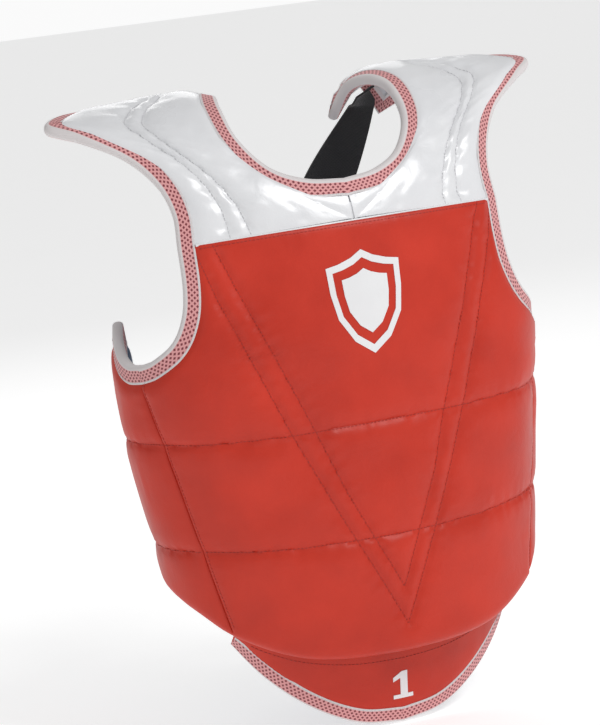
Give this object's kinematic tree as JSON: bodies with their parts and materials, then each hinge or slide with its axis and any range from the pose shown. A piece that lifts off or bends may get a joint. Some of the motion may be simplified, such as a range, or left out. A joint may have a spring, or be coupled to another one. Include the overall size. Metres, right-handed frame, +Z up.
{
  "type": "padded chest protector",
  "caption": "Padded torso guard for martial arts with quilted front, wrap-round sides, white shoulders, hanging abdomen flap, bound edges and elastic back straps.",
  "frame": {"origin": "on the axis of the wearer's trunk, level with the chest panel's lowest edge", "axes": "+Z up, the front faces -Y, +X is the wearer's left"},
  "size_m": [0.4568, 0.2028, 0.569],
  "materials": {
    "red_cover": "smooth satin coated fabric",
    "white_cover": "glossy coated fabric",
    "blue_lining": "smooth satin coated fabric",
    "foam": "closed-cell foam",
    "edge_tape": "woven tape with a red and grey check",
    "black_elastic": "ribbed woven elastic",
    "hook_and_loop": "napped loop tape",
    "white_print": "flat transfer print"
  },
  "bodies": {
    "chest": {"armhole_binding_left": "edge_tape", "armhole_binding_right": "edge_tape", "chest_foam": "foam", "cross_patch": "black_elastic", "front_cover": "red_cover", "lining": "blue_lining", "neck_binding_left": "edge_tape", "neck_binding_right": "edge_tape", "shield_centre": "white_print", "shield_outline": "white_print", "waist_patch": "hook_and_loop", "yoke_foam_left": "foam", "yoke_foam_right": "foam", "yoke_left": "white_cover", "yoke_lining_left": "white_cover", "yoke_lining_right": "white_cover", "yoke_right": "white_cover"},
    "side_left": {"side_foam_left": "foam", "side_cover_left": "red_cover", "side_lining_left": "blue_lining", "side_binding_left": "edge_tape", "back_strap_left": "black_elastic", "waist_strap_left": "black_elastic"},
    "side_right": {"side_foam_right": "foam", "side_cover_right": "red_cover", "side_lining_right": "blue_lining", "side_binding_right": "edge_tape", "back_strap_right": "black_elastic", "waist_strap_right": "black_elastic"},
    "shoulder_left": {"shoulder_foam_left": "foam", "shoulder_cover_left": "white_cover", "shoulder_lining_left": "white_cover", "shoulder_binding_left": "edge_tape", "shoulder_strap_left": "black_elastic"},
    "shoulder_right": {"shoulder_foam_right": "foam", "shoulder_cover_right": "white_cover", "shoulder_lining_right": "white_cover", "shoulder_binding_right": "edge_tape", "shoulder_strap_right": "black_elastic"},
    "flap": {"flap_foam": "foam", "flap_cover": "red_cover", "flap_lining": "blue_lining", "flap_binding": "edge_tape", "size_numeral": "white_print"},
    "tab": {"waist_tab": "hook_and_loop"}
  },
  "joints": [
    {"name": "side_left_seam", "type": "hinge", "parent": "chest", "child": "side_left", "pos_m": [0.15951, -0.02391, 0.1525], "axis": [-0.1908, -0.1045, -0.976], "range_deg": [0, 35], "stiffness_Nm_per_rad": 0.5, "deforming": ["back_strap_left", "waist_strap_left"]},
    {"name": "side_right_seam", "type": "hinge", "parent": "chest", "child": "side_right", "pos_m": [-0.15951, -0.02391, 0.1525], "axis": [-0.1908, 0.1045, 0.976], "range_deg": [0, 35], "stiffness_Nm_per_rad": 0.5, "deforming": ["back_strap_right", "waist_strap_right"]},
    {"name": "shoulder_left_fold", "type": "hinge", "parent": "chest", "child": "shoulder_left", "pos_m": [0.15125, 0.0005, 0.46827], "axis": [0.9614, 0.2505, 0.1135], "range_deg": [0, 25], "stiffness_Nm_per_rad": 0.6, "deforming": ["shoulder_strap_left"]},
    {"name": "shoulder_right_fold", "type": "hinge", "parent": "chest", "child": "shoulder_right", "pos_m": [-0.15125, 0.0005, 0.46827], "axis": [0.9614, -0.2505, -0.1135], "range_deg": [0, 25], "stiffness_Nm_per_rad": 0.6, "deforming": ["shoulder_strap_right"]},
    {"name": "flap_seam", "type": "hinge", "parent": "chest", "child": "flap", "pos_m": [0, -0.06609, 0.004], "axis": [-1, 0, 0], "range_deg": [0, 45], "stiffness_Nm_per_rad": 0.3},
    {"name": "tab_peel", "type": "hinge", "parent": "chest", "child": "tab", "pos_m": [-0.031, 0.1028, 0.118], "axis": [0, 0, 1], "range_deg": [0, 85]}
  ]
}
